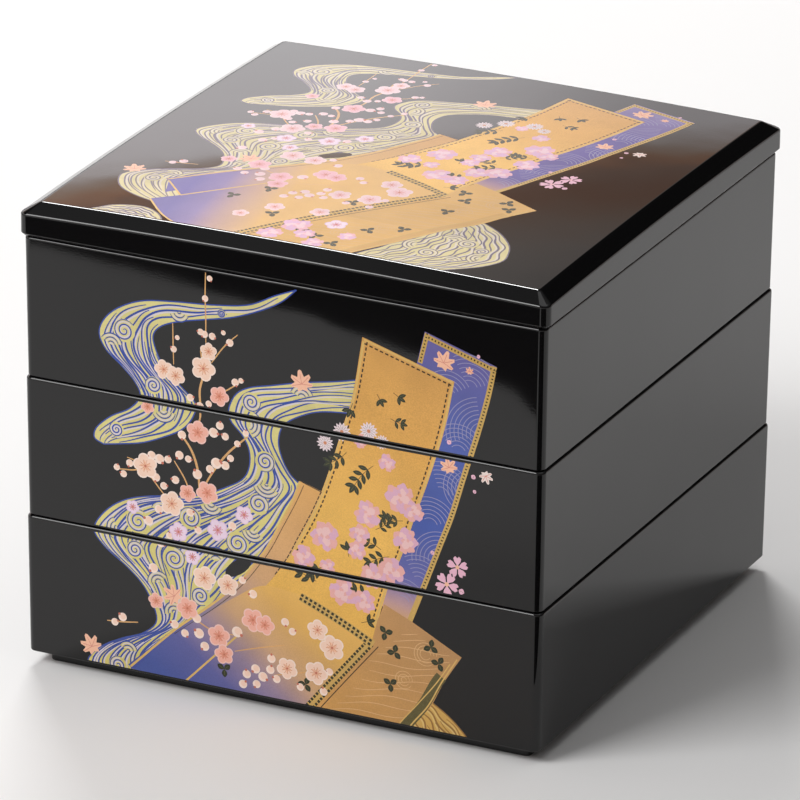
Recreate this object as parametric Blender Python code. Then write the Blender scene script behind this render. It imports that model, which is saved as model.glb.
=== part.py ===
"""Stacking box of black lacquered wood: three square tiers and a crowned lid that lifts off.

Each tier is a tray. The foot ring under it drops into the mouth of the tier below, and a tongue
under the lid drops into the mouth of the top tier. Metres, +Z up, the painted front at -Y, the
origin in the middle of the underside.
"""
import math
from collections import namedtuple
from itertools import pairwise

import bmesh
import bpy
from mathutils import Matrix, Vector

# Tiers
TIER_NAMES = ("tier_bottom", "tier_middle", "tier_top")
TIER_WIDTH = 0.195
WALL_HEIGHT = 0.0508
WALL_THICKNESS = 0.0054
WALL_TAPER = 0.00046  # what each side draws in from its rim to its lower edge
RIM_ROUNDING = 0.0007
LOWER_EDGE_ROUNDING = 0.0004
UPRIGHT_CORNER_RADIUS = 0.0028
INSIDE_CORNER_RADIUS = 0.0020
FLOOR_THICKNESS = 0.0044
FLOOR_ABOVE_FOOT = 0.0026  # from the top of the foot ring to the floor inside
FLOOR_COVE_RADIUS = 0.0020

# Foot ring under each tier
FOOT_HEIGHT = 0.0048
FOOT_RING_WIDTH = 0.0070
FOOT_CLEARANCE = 0.0006  # on each side, in the mouth of the tier below
FOOT_ROUNDING = 0.0006

# Lid
LID_OVERHANG = 0.0012  # past the tier's rim, on each side
LID_RIM_HEIGHT = 0.0080
LID_CHAMFER_WIDTH = 0.0056
LID_CHAMFER_RISE = 0.0031
LID_CROWN = 0.0025  # rise of the top from its corners to its middle
LID_THICKNESS = 0.0045
LID_CORNER_RADIUS = 0.0032
LID_PLATEAU_CORNER_RADIUS = 0.0012
LID_EDGE_ROUNDING = 0.0006
TONGUE_DEPTH = 0.0040
TONGUE_WIDTH = 0.0035
TONGUE_CLEARANCE = 0.0006  # on each side, in the mouth of the top tier
TONGUE_ROUNDING = 0.0006

# Between a piece and the one that it rests on
SEAT_GAP = 0.0003

# Facets
CORNER_STEPS = 4
EDGE_STEPS = 2
LID_SIDE_STEPS = 6
LID_TOP_RINGS = 5

# Lacquer
LACQUER_COLOUR = (0.006, 0.006, 0.007, 1.0)
LACQUER_ROUGHNESS = 0.08

SHARP_ANGLE = math.radians(35)

# One corner of a piece's half section, at half_width from the middle. upright_radius rounds the
# square that the section draws there, and edge_radius rounds the section itself.
Corner = namedtuple("Corner", "half_width height upright_radius edge_radius", defaults=(0.0,))


def lacquer(name):
    """A gloss black lacquer for one piece."""
    material = bpy.data.materials.new(name)
    material.use_nodes = True
    shader = material.node_tree.nodes["Principled BSDF"]
    shader.inputs["Base Color"].default_value = LACQUER_COLOUR
    shader.inputs["Roughness"].default_value = LACQUER_ROUGHNESS
    return material


def with_rounded_edges(corners):
    """The section with an arc in place of each corner that has an edge radius."""
    section = [corners[0]]
    for before, corner, after in zip(corners, corners[1:], corners[2:]):
        if corner.edge_radius == 0:
            section.append(corner)
            continue
        point = Vector(corner[:2])
        to_before = Vector(before[:2]) - point
        to_after = Vector(after[:2]) - point
        half_angle = to_before.angle(to_after) / 2
        shorter = min(to_before.length, to_after.length)
        reach = min(corner.edge_radius / math.tan(half_angle), 0.45 * shorter)
        radius = reach * math.tan(half_angle)
        bisector = (to_before.normalized() + to_after.normalized()).normalized()
        centre = point + bisector * radius / math.sin(half_angle)
        spoke = point + to_before.normalized() * reach - centre
        turn = -spoke.angle_signed(point + to_after.normalized() * reach - centre)
        for step in range(EDGE_STEPS + 1):
            place = centre + Matrix.Rotation(turn * step / EDGE_STEPS, 2) @ spoke
            section.append(Corner(place.x, place.y, corner.upright_radius))
    section.append(corners[-1])
    return section


def rounded_square(half_width, radius, side_steps):
    """Points round a square with rounded corners, anticlockwise from the +X side."""
    straight = half_width - radius
    points = []
    for quarter in range(4):
        turn = Matrix.Rotation(quarter * math.pi / 2, 2)
        for step in range(CORNER_STEPS + 1):
            angle = step / CORNER_STEPS * math.pi / 2
            arc_point = Vector((math.cos(angle), math.sin(angle))) * radius
            points.append(turn @ (Vector((straight, straight)) + arc_point))
        for step in range(1, side_steps):
            along = straight * (1 - 2 * step / side_steps)
            points.append(turn @ Vector((along, half_width)))
    return points


def square_solid(corners, side_steps, fan_ends):
    """A closed solid whose section is drawn round a square, with its two ends capped."""
    bm = bmesh.new()
    rings = []
    for corner in with_rounded_edges(corners):
        outline = rounded_square(corner.half_width, corner.upright_radius, side_steps)
        rings.append([bm.verts.new((x, y, corner.height)) for x, y in outline])
    for inner, outer in pairwise(rings):
        count = len(inner)
        for i in range(count):
            j = (i + 1) % count
            bm.faces.new((inner[i], inner[j], outer[j], outer[i]))
    caps = [bm.faces.new(rings[0]), bm.faces.new(rings[-1])]
    if fan_ends:
        bmesh.ops.poke(bm, faces=caps)
    bmesh.ops.recalc_face_normals(bm, faces=bm.faces)
    return bm


def add_piece(collection, name, bm, height):
    """Makes the piece's object, standing at its height in the stack."""
    mesh = bpy.data.meshes.new(name)
    bm.to_mesh(mesh)
    bm.free()
    mesh.shade_smooth()
    mesh.set_sharp_from_angle(angle=SHARP_ANGLE)
    mesh.materials.append(lacquer(name + "_lacquer"))
    piece = bpy.data.objects.new(name, mesh)
    piece.location.z = height
    collection.objects.link(piece)


def tier_corners():
    """Half section of a tier, from the hollow under its floor round to the floor inside."""
    outside = TIER_WIDTH / 2
    mouth = outside - WALL_THICKNESS
    foot = mouth - FOOT_CLEARANCE
    ring_inside = foot - FOOT_RING_WIDTH
    rim = FOOT_HEIGHT + WALL_HEIGHT
    floor = FOOT_HEIGHT + FLOOR_ABOVE_FOOT
    return [
        Corner(ring_inside, floor - FLOOR_THICKNESS, INSIDE_CORNER_RADIUS),
        Corner(ring_inside, 0, INSIDE_CORNER_RADIUS, FOOT_ROUNDING),
        Corner(foot, 0, INSIDE_CORNER_RADIUS, FOOT_ROUNDING),
        Corner(foot, FOOT_HEIGHT, INSIDE_CORNER_RADIUS),
        Corner(outside - WALL_TAPER, FOOT_HEIGHT, UPRIGHT_CORNER_RADIUS, LOWER_EDGE_ROUNDING),
        Corner(outside, rim, UPRIGHT_CORNER_RADIUS, RIM_ROUNDING),
        Corner(mouth, rim, INSIDE_CORNER_RADIUS, RIM_ROUNDING),
        Corner(mouth - WALL_TAPER, floor, INSIDE_CORNER_RADIUS, FLOOR_COVE_RADIUS),
        Corner(mouth - WALL_TAPER - 2 * FLOOR_COVE_RADIUS, floor, INSIDE_CORNER_RADIUS),
    ]


def lid_corners():
    """Half section of the lid, from the middle of its ceiling round to the middle of its top.

    Heights are from the seat, which is the lid's lower edge and rests on the top tier's rim.
    """
    outside = TIER_WIDTH / 2 + LID_OVERHANG
    tongue = TIER_WIDTH / 2 - WALL_THICKNESS - TONGUE_CLEARANCE
    hollow = tongue - TONGUE_WIDTH
    plateau = outside - LID_CHAMFER_WIDTH
    top = LID_RIM_HEIGHT + LID_CHAMFER_RISE
    ceiling = top - LID_THICKNESS
    shares = [ring / LID_TOP_RINGS for ring in range(1, LID_TOP_RINGS)]
    inward = [
        Corner(hollow * share, ceiling, INSIDE_CORNER_RADIUS * share) for share in shares
    ]
    upward = [
        Corner(plateau * share, top, LID_PLATEAU_CORNER_RADIUS * share) for share in shares
    ]
    return [
        *inward,
        Corner(hollow, ceiling, INSIDE_CORNER_RADIUS),
        Corner(hollow, -TONGUE_DEPTH, INSIDE_CORNER_RADIUS, TONGUE_ROUNDING),
        Corner(tongue, -TONGUE_DEPTH, INSIDE_CORNER_RADIUS, TONGUE_ROUNDING),
        Corner(tongue, 0, INSIDE_CORNER_RADIUS),
        Corner(outside, 0, LID_CORNER_RADIUS, LID_EDGE_ROUNDING),
        Corner(outside, LID_RIM_HEIGHT, LID_CORNER_RADIUS, LID_EDGE_ROUNDING),
        Corner(plateau, top, LID_PLATEAU_CORNER_RADIUS, LID_EDGE_ROUNDING),
        *reversed(upward),
    ]


def crown(bm):
    """Raises the top, its chamfer and the ceiling into a shallow dome, highest in the middle."""
    outside = TIER_WIDTH / 2 + LID_OVERHANG
    for vertex in bm.verts:
        if vertex.co.z > LID_RIM_HEIGHT / 2:
            away = vertex.co.xy.length_squared / (2 * outside**2)
            vertex.co.z += LID_CROWN * (1 - away)


def build():
    for item in list(bpy.data.objects):
        bpy.data.objects.remove(item)
    collection = bpy.data.collections.new("stacking lacquer box")
    bpy.context.scene.collection.children.link(collection)

    pitch = WALL_HEIGHT + SEAT_GAP
    for level, name in enumerate(TIER_NAMES):
        tier = square_solid(tier_corners(), side_steps=1, fan_ends=False)
        add_piece(collection, name, tier, level * pitch)

    lid = square_solid(lid_corners(), LID_SIDE_STEPS, fan_ends=True)
    crown(lid)
    add_piece(collection, "lid", lid, FOOT_HEIGHT + len(TIER_NAMES) * pitch)


build()
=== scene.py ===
"""Three-tier stacking box of black lacquer with a painted picture, dressed for a still picture."""
import math

import bmesh
import bpy
import numpy as np
from mathutils import Matrix, Vector
from mathutils.geometry import delaunay_2d_cdt


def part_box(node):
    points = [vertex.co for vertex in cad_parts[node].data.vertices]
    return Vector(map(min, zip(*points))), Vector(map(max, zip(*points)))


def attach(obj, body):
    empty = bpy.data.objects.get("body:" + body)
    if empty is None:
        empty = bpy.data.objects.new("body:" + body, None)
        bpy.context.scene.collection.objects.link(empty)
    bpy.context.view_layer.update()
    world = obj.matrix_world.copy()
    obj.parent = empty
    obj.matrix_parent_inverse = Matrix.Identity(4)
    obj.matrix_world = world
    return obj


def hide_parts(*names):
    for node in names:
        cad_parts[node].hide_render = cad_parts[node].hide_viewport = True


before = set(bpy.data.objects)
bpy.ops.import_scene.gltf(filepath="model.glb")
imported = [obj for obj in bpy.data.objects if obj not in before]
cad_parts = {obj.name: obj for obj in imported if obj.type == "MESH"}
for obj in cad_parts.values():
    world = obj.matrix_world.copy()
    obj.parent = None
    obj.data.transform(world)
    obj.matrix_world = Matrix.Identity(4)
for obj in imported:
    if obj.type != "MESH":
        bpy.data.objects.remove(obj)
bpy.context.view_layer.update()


# --- The three tiers ------------------------------------------------------------------------------
# Trays of thin wood, coated inside and out with black lacquer and polished to a mirror gloss. Each
# stands on a recessed foot ring that drops into the mouth of the tray below, and nothing else
# holds them together.

TIERS = (("bottom_tray", "tier_bottom"), ("middle_tray", "tier_middle"), ("top_tray", "tier_top"))
TRAY_WALL = 0.0054
TRAY_WALL_LEAN = 0.00046
TRAY_FOOT = 0.0048
TRAY_FLOOR = 0.0044
TRAY_FLOOR_OVER_FOOT = 0.0026
TRAY_FOOT_PLAY = 0.0006
TRAY_RING = 0.0070
TRAY_CORNER = 0.0028
TRAY_INNER_CORNER = 0.0020
TRAY_CAP_BAND = 0.004
ARC_STEPS = 6
CORNER_STEPS = 12
SMALL_ROUNDING = 0.0003
ROUNDING_SHARE = 0.45

LACQUER_BLACK = (0.0028, 0.0026, 0.0028, 1.0)
LACQUER_ROUGHNESS = 0.036
LACQUER_IOR = 1.48


def link(tree, source, socket):
    tree.links.new(source, socket)


def add_node(tree, kind, values=None, operation=None):
    """A new shader node with these values on its sockets."""
    node = tree.nodes.new("ShaderNode" + kind)
    if operation:
        node.operation = operation
    for socket, value in (values or {}).items():
        node.inputs[socket].default_value = value
    return node


def new_group(name, given, put_out):
    """A node group with these inputs, as (name, kind, value), and outputs, as (name, kind)."""
    group = bpy.data.node_groups.new(name, "ShaderNodeTree")
    for label, kind, value in given:
        socket = group.interface.new_socket(
            label, in_out="INPUT", socket_type="NodeSocket" + kind)
        socket.default_value = value
    for label, kind in put_out:
        group.interface.new_socket(label, in_out="OUTPUT", socket_type="NodeSocket" + kind)
    return group, group.nodes.new("NodeGroupInput"), group.nodes.new("NodeGroupOutput")


def noise_on(tree, scale, detail):
    """Noise that sits on the piece itself."""
    noise = add_node(tree, "TexNoise", {"Scale": scale, "Detail": detail})
    place = add_node(tree, "TexCoord")
    link(tree, place.outputs["Object"], noise.inputs["Vector"])
    return noise


def polish_group():
    """Faint unevenness of a hand-polished coat: a slow wave, a fine skin and uneven haze."""
    group, given, out = new_group(
        "polished coat", [("Roughness", "Float", 0.08), ("Spread", "Float", 0.02)],
        [("Height", "Float"), ("Roughness", "Float")])
    wave = noise_on(group, 22.0, 1.5)
    skin = noise_on(group, 1600.0, 0.0)
    height = add_node(group, "Math", {1: 0.012}, "MULTIPLY_ADD")
    link(group, skin.outputs["Fac"], height.inputs[0])
    link(group, wave.outputs["Fac"], height.inputs[2])
    link(group, height.outputs[0], out.inputs["Height"])
    haze = noise_on(group, 60.0, 4.0)
    rough = add_node(group, "Math", operation="MULTIPLY_ADD")
    link(group, haze.outputs["Fac"], rough.inputs[0])
    link(group, given.outputs["Spread"], rough.inputs[1])
    link(group, given.outputs["Roughness"], rough.inputs[2])
    link(group, rough.outputs[0], out.inputs["Roughness"])
    return group


def new_material(name):
    material = bpy.data.materials.new(name)
    material.use_nodes = True
    return material, material.node_tree, material.node_tree.nodes["Principled BSDF"]


def coated(name, roughness, spread=0.02, bump=0.00012):
    """A material under a polished coat. Its colour is set or linked by whoever asks for it."""
    material, tree, shader = new_material(name)
    coat = add_node(tree, "Group")
    coat.node_tree = POLISH
    coat.inputs["Roughness"].default_value = roughness
    coat.inputs["Spread"].default_value = spread
    relief = add_node(tree, "Bump", {"Strength": 1.0, "Distance": bump})
    link(tree, coat.outputs["Height"], relief.inputs["Height"])
    link(tree, relief.outputs["Normal"], shader.inputs["Normal"])
    link(tree, coat.outputs["Roughness"], shader.inputs["Roughness"])
    return material, tree, shader


POLISH = polish_group()
lacquer, _, lacquer_shader = coated("black lacquer", LACQUER_ROUGHNESS)
lacquer_shader.inputs["Base Color"].default_value = LACQUER_BLACK
lacquer_shader.inputs["IOR"].default_value = LACQUER_IOR


def eased(section):
    """The half section, as (half width, height, upright radius), with an arc at each corner.

    A corner may end with its own radius, where 0 leaves it sharp.
    """
    points = [section[0][:3]]
    for before, corner, after in zip(section, section[1:], section[2:]):
        radius = corner[3] if len(corner) > 3 else SMALL_ROUNDING
        if radius == 0:
            points.append(corner[:3])
            continue
        middle = Vector(corner[:2])
        to_before, to_after = Vector(before[:2]) - middle, Vector(after[:2]) - middle
        half = to_before.angle(to_after) / 2
        reach = min(radius / math.tan(half),
                    ROUNDING_SHARE * min(to_before.length, to_after.length))
        radius = reach * math.tan(half)
        centre = middle + (to_before.normalized() + to_after.normalized()).normalized() * (
            radius / math.sin(half)
        )
        spoke = middle + to_before.normalized() * reach - centre
        turn = -spoke.angle_signed(middle + to_after.normalized() * reach - centre)
        for step in range(ARC_STEPS + 1):
            place = centre + Matrix.Rotation(turn * step / ARC_STEPS, 2) @ spoke
            points.append((place.x, place.y, corner[2]))
    points.append(section[-1][:3])
    return points


def squared_ring(half, radius, side_steps):
    """Points round a square with rounded corners, anticlockwise from the +X side."""
    points = []
    for quarter in range(4):
        turn = Matrix.Rotation(quarter * math.pi / 2, 2)
        straight = half - radius
        for step in range(CORNER_STEPS + 1):
            angle = step / CORNER_STEPS * math.pi / 2
            points.append(turn @ Vector((straight + radius * math.cos(angle),
                                         straight + radius * math.sin(angle))))
        for step in range(1, side_steps):
            points.append(turn @ Vector((straight * (1 - 2 * step / side_steps), half)))
    return points


def drawn_round(section, side_steps):
    """A closed body whose half section is drawn round a square, its two ends capped."""
    body = bmesh.new()
    rings = []
    for half, height, radius in eased(section):
        ring = [body.verts.new((x, y, height)) for x, y in squared_ring(half, radius, side_steps)]
        if rings:
            for i in range(len(ring)):
                j = (i + 1) % len(ring)
                body.faces.new((rings[-1][i], rings[-1][j], ring[j], ring[i]))
        rings.append(ring)
    body.faces.new(rings[0])
    body.faces.new(rings[-1])
    bmesh.ops.recalc_face_normals(body, faces=body.faces)
    return body


def by_area(body):
    """Each corner's direction for shading, where the broad flats outweigh the thin arcs."""
    body.normal_update()
    return {
        vert: sum((f.normal * f.calc_area() for f in vert.link_faces), Vector()).normalized()
        for vert in body.verts
    }


def in_scene(name, data):
    thing = bpy.data.objects.new(name, data)
    bpy.context.scene.collection.objects.link(thing)
    return thing


def as_piece(name, body, facing, node):
    """The finished piece, which stands for its solid."""
    mesh = bpy.data.meshes.new(name)
    body.verts.index_update()
    normals = [facing[vert] for vert in body.verts]
    body.to_mesh(mesh)
    body.free()
    mesh.shade_smooth()
    mesh.normals_split_custom_set_from_vertices(normals)
    piece = in_scene(name, mesh)
    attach(piece, "root")
    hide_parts(node)
    return piece


def tray_body(node):
    low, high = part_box(node)
    outside = high.x
    mouth = outside - TRAY_WALL
    foot = mouth - TRAY_FOOT_PLAY
    ring = foot - TRAY_RING
    under = low.z + TRAY_FOOT
    floor = under + TRAY_FLOOR_OVER_FOOT
    inner = TRAY_INNER_CORNER
    return drawn_round([
        (ring - TRAY_CAP_BAND, floor - TRAY_FLOOR, inner),
        (ring, floor - TRAY_FLOOR, inner, 0.0004),
        (ring, low.z, inner, 0.0006),
        (foot, low.z, inner, 0.0006),
        (foot, under, inner, 0.0003),
        (outside - TRAY_WALL_LEAN, under, TRAY_CORNER, 0.0004),
        (outside, high.z, TRAY_CORNER, 0.0010),
        (mouth, high.z, inner, 0.0007),
        (mouth - TRAY_WALL_LEAN, floor, inner, 0.0020),
        (mouth - TRAY_WALL_LEAN - TRAY_CAP_BAND, floor, inner),
    ], 1)


trays = [tray_body(node) for _, node in TIERS]


# --- The lid --------------------------------------------------------------------------------------
# A shallow cover of the same lacquered wood, with an upright rim, a chamfer round its top and a
# slightly crowned face. It lies on the top tray's rim, and a tongue under it drops into the mouth.

LID_OVERHANG = 0.0012
LID_TONGUE_PLAY = 0.0006
LID_RIM = 0.0080
LID_CHAMFER = (0.0056, 0.0031)
LID_CROWN = 0.0025
LID_BOARD = 0.0045
LID_TONGUE = (0.0035, 0.0040)
LID_CORNER = 0.0032
LID_PLATEAU_CORNER = 0.0012
LID_UNDERCUT = (0.0011, 0.0010)
LID_BANDS = 5
LID_SIDE_STEPS = 10

lid_low, lid_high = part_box("lid")
lid_half = lid_high.x
lid_seat = lid_low.z + LID_TONGUE[1]
plateau_half = lid_half - LID_CHAMFER[0]
plateau_height = lid_seat + LID_RIM + LID_CHAMFER[1]


def crown_lift(x, y):
    """How far the crown raises the lid's upper side at this place."""
    return LID_CROWN * (1 - (x * x + y * y) / (2 * lid_half**2))


def lid_body():
    tongue = lid_half - LID_OVERHANG - TRAY_WALL - LID_TONGUE_PLAY
    hollow = tongue - LID_TONGUE[0]
    ceiling = plateau_height - LID_BOARD
    inward = [(hollow * s / LID_BANDS, ceiling, TRAY_INNER_CORNER * s / LID_BANDS, 0)
              for s in range(1, LID_BANDS)]
    upward = [(plateau_half * s / LID_BANDS, plateau_height, LID_PLATEAU_CORNER * s / LID_BANDS, 0)
              for s in range(LID_BANDS - 1, 0, -1)]
    body = drawn_round(inward + [
        (hollow, ceiling, TRAY_INNER_CORNER, 0.0008),
        (hollow, lid_low.z, TRAY_INNER_CORNER, 0.0006),
        (tongue, lid_low.z, TRAY_INNER_CORNER, 0.0006),
        (tongue, lid_seat, TRAY_INNER_CORNER, 0.0003),
        (lid_half - LID_UNDERCUT[0], lid_seat, LID_CORNER - LID_UNDERCUT[0], 0.0003),
        (lid_half, lid_seat + LID_UNDERCUT[1], LID_CORNER, 0.0004),
        (lid_half, lid_seat + LID_RIM, LID_CORNER, 0.0012),
        (plateau_half, plateau_height, LID_PLATEAU_CORNER, 0.0024),
    ] + upward, LID_SIDE_STEPS)
    for vert in body.verts:
        if vert.co.z > lid_seat + LID_RIM / 2:
            vert.co.z += crown_lift(vert.co.x, vert.co.y)
    return body


lid = lid_body()


# --- The picture ----------------------------------------------------------------------------------
# One picture runs across the lid and again down the front of the stack, over the joints: streams,
# gold and blue cloth bands, plum twigs, maple leaves and small blooms, in gold powder and coloured
# pigments laid flat under the clear coat. Lengths here are millimetres, (0, 0) below its middle.

figures = []
LINE_PACE = 0.8
ARC_PACE = 0.7


def toward(degrees):
    """The direction at this angle, anticlockwise from the right."""
    return Vector((math.cos(math.radians(degrees)), math.sin(math.radians(degrees))))


def lay(paint, outline, parts=None):
    """One flat patch of paint, whole or in parts that make it up. A later patch covers it."""
    outline = [Vector(point) for point in outline]
    figures.append((paint, outline, parts or [outline]))


def flowing(points):
    """A smooth line through the points, with a corner every LINE_PACE or so."""
    knots = [Vector(p) for p in points]
    knots = [2 * knots[0] - knots[1]] + knots + [2 * knots[-1] - knots[-2]]
    line = []
    for a, b, c, d in zip(knots, knots[1:], knots[2:], knots[3:]):
        count = max(1, round((c - b).length / LINE_PACE))
        for k in range(count):
            t = k / count
            line.append(0.5 * (2 * b + (c - a) * t + (2 * a - 5 * b + 4 * c - d) * t**2
                               + (3 * b - a - 3 * c + d) * t**3))
    return line + [knots[-2]]


def evened(line, count):
    """The same line with its corners at even distances."""
    reach = [0.0]
    for a, b in zip(line, line[1:]):
        reach.append(reach[-1] + (b - a).length)
    even, k = [], 0
    for i in range(count):
        goal = reach[-1] * i / (count - 1)
        while k < len(line) - 2 and reach[k + 1] < goal:
            k += 1
        span = max(reach[k + 1] - reach[k], 1e-9)
        even.append(line[k].lerp(line[k + 1], min(1.0, (goal - reach[k]) / span)))
    return even


def stroke(paint, line, width, fade=0.0):
    """A brush line, thinner towards its ends by the share that fade gives."""
    if len(line) < 2:
        return
    left, right = [], []
    for i, point in enumerate(line):
        along = line[min(i + 1, len(line) - 1)] - line[max(i - 1, 0)]
        if along.length < 1e-6:
            continue
        t = i / (len(line) - 1)
        half = width / 2 * (1 - fade * abs(2 * t - 1) ** 2)
        side = Vector((-along.y, along.x)).normalized() * half
        left.append(point + side)
        right.append(point - side)
    if len(left) > 1:
        parts = [right[i:i + 5] + left[i:i + 5][::-1] for i in range(0, len(left) - 1, 4)]
        lay(paint, right + left[::-1], parts)


def inside(point, outline):
    """Whether the point lies within the outline, by the sides that it lies left of."""
    hits = False
    for a, b in zip(outline, outline[1:] + outline[:1]):
        if (a.y > point.y) != (b.y > point.y):
            if point.x < (b.x - a.x) * (point.y - a.y) / (b.y - a.y) + a.x:
                hits = not hits
    return hits


def stroke_within(paint, line, width, outline, fade=0.0):
    """A brush line that shows only where it runs over the outline."""
    run = []
    for point in line:
        if inside(point, outline):
            run.append(point)
        else:
            stroke(paint, run, width, fade)
            run = []
    stroke(paint, run, width, fade)


def stitches(paint, line, width, on, off):
    """A dashed line, like a row of stitches."""
    length = sum((b - a).length for a, b in zip(line, line[1:]))
    fine = evened(line, max(2, round(length / 0.25)))
    step = length / (len(fine) - 1)
    period, held = max(1, round((on + off) / step)), max(1, round(on / step))
    for start in range(0, len(fine) - held, period):
        stroke(paint, fine[start:start + held + 1:max(1, held // 3)], width)


def ring_points(centre, radius, count, squash=1.0, lean=0.0):
    """Points round a circle, which may be flattened and leant over."""
    points = []
    for k in range(count):
        a = 2 * math.pi * k / count
        flat = Vector((radius * math.cos(a), radius * squash * math.sin(a)))
        points.append(Vector(centre) + Matrix.Rotation(lean, 2) @ flat)
    return points


def arc_line(centre, radius, start, end):
    """Part of a circle, between two angles in degrees."""
    count = max(3, round(abs(math.radians(end - start)) * radius / ARC_PACE))
    return [Vector(centre) + radius * toward(start + (end - start) * k / count)
            for k in range(count + 1)]


def eddy(u, v, radius, start, way):
    """A curl of water: a round of foam with a line that winds into it."""
    lay("stream", ring_points((u, v), radius, 26))
    count = 46
    for paint, wide, shift in (("stream light", 0.8, 0.75), ("stream line", 0.55, 0.0)):
        line = []
        for k in range(count + 1):
            t = k / count
            line.append(Vector((u, v)) + (radius * (1 - 0.92 * t) - shift * (1 - t))
                        * toward(start + way * 820 * t))
        stroke(paint, line, wide, 0.5)


def scallops(u, v, radius, start, end):
    """A fan of round ripples."""
    lay("stream", arc_line((u, v), radius, start, end) + [Vector((u, v))])
    level = radius
    while level > 0.7:
        stroke("stream line", arc_line((u, v), level, start, end), 0.5, 0.5)
        stroke("stream light", arc_line((u, v), level - 0.7, start + 6, end - 6), 0.5, 0.6)
        level -= 1.45


STREAM_STEPS = 170
NARROWEST_PART = 1.3
PALE_SHIFT = 0.72


def stream(left, right, sway, water="stream"):
    """A stream between its two banks, with lines that part where it widens and join again."""
    left, right = (evened(flowing(bank), STREAM_STEPS) for bank in (left, right))
    lay(water, left + right[::-1])
    for level in range(1, 6):
        parts = 2**level
        for odd in range(1, parts, 2):
            run, pale = [], []
            for i in range(STREAM_STEPS + 1):
                wide = (left[i] - right[i]).length / parts if i < STREAM_STEPS else 0
                if wide > NARROWEST_PART:
                    swing = sway * math.sin(i * 0.22 + odd * 1.9 + level) * min(1, wide / 2)
                    across = (right[i] - left[i]).normalized()
                    point = left[i].lerp(right[i], odd / parts) + across * swing
                    run.append(point)
                    pale.append(point + across * PALE_SHIFT)
                elif run:
                    if len(run) > 6:
                        if odd % 4 == 1:
                            stroke(water + " light", pale[2:-2], 0.75, 0.6)
                        stroke(water + " line", run, 0.8 if level < 4 else 0.6, 0.6)
                    run, pale = [], []
    stroke(water + " line", left, 0.5)
    stroke(water + " line", right, 0.5)


# The streams, from the back of the picture forwards.
stream([(6, 156), (-2, 152.5), (-12, 147.5), (-25, 145.2), (-40, 143.8), (-52, 142), (-61, 138),
        (-66.5, 133), (-68.5, 127.5), (-66, 122), (-60, 117), (-55, 112), (-53, 107), (-57, 102),
        (-64, 98), (-69.5, 93), (-70.5, 89), (-67, 87.2)],
       [(6, 156), (0, 150.5), (-8, 146), (-18, 142), (-28, 139.5), (-38, 137), (-45, 134),
        (-48, 130), (-46.5, 124), (-43, 118), (-37, 113), (-32, 108), (-33, 103), (-37, 98),
        (-44, 94), (-52, 90.5), (-60, 88.6), (-67, 87.2)], 0.5)
stream([(30, 128), (20, 125.5), (8, 123), (-3, 120), (-12, 117.5), (-17, 114), (-19.5, 108),
        (-18, 104), (-14, 100), (-11.5, 95), (-11.5, 89), (-14, 84), (-20, 80), (-28, 76),
        (-38, 73), (-48, 71.5), (-58, 68.5), (-65, 64), (-70, 58), (-70.5, 54), (-66, 49),
        (-58, 43.5), (-52, 38), (-48, 31), (-47, 25), (-52, 20), (-60, 16.5), (-68, 12),
        (-73.5, 6), (-72.5, 0), (-68, -6.5), (-60, -11.5), (-50, -15)],
       [(30, 115), (24, 115), (14, 113.5), (6, 110), (1, 106), (-0.5, 100), (1, 94), (4, 89),
        (9, 84), (6, 76), (2, 68), (-4, 58), (-12, 48), (-22, 38), (-34, 28), (-42, 20),
        (-47, 14), (-48, 8), (-46, 2), (-44, -4), (-42, -10)], 0.7)
stream([(-67, -27.5), (-63, -23), (-57, -20.6), (-51, -20.5), (-45, -24), (-41, -29), (-40, -31)],
       [(-67, -27.5), (-68, -28.5), (-66, -29.5), (-62, -30.5), (-57, -31), (-52, -31.5),
        (-46, -32)], 0.3)
stream([(48, 20), (57, 16), (66, 10), (73.5, 1.5), (77, -7), (77.5, -13), (74, -19.5), (68, -25),
        (60, -31)],
       [(44, 14), (46, 6), (45, -2), (42, -9), (38, -15), (36, -20), (33, -25), (30, -31)],
       0.6, "far stream")
for spot in (
        (-59, 130, 4.2, 40, 1), (-48, 112, 3.2, 200, -1), (-62, 93.5, 2.8, 120, 1),
        (-22, 142.6, 1.6, 30, 1), (-11, 112.5, 3.6, 10, -1), (-5.5, 92, 3.8, 250, 1),
        (-54, 61, 4.6, 60, 1), (-34, 66, 4.2, 190, -1), (-8, 76, 4.0, 320, 1),
        (-40, 50, 4.4, 90, -1), (-55, 50.5, 3.4, 10, 1), (-16, 60, 4.4, 140, 1),
        (-30, 38, 3.6, 300, -1), (-62, 6, 3.4, 70, 1), (61, -4, 3.8, 60, 1),
        (68, -8, 2.9, 210, -1), (52, -17, 4.0, 300, 1)):
    eddy(*spot)
for fan in (
        (-38, 140.5, 3.6, 200, 340), (-64, 124, 4.2, 10, 150), (-44, 104, 4.6, 210, 350),
        (8, 117.5, 4.4, 20, 160), (-12, 104.5, 5.0, -70, 70), (-5, 84, 5.2, 200, 330),
        (-26, 73, 4.4, 200, 340), (-62, 57, 4.0, 110, 250), (-45, 66, 4.0, 20, 160),
        (-24, 52, 5.0, 30, 160), (-46, 40, 4.2, 40, 190), (-10, 66, 4.4, 190, 330),
        (-40, 30, 3.8, 60, 200), (-58, 12, 3.6, 10, 150), (70, -14, 4.6, 100, 250),
        (55, -3, 4.6, 30, 170), (46, -12, 5.0, 120, 260), (62, -20, 4.0, 30, 170)):
    scallops(*fan)
lay("ground", ring_points((-15.5, 51.5), 6.0, 18, squash=0.42, lean=math.radians(38)))

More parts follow.
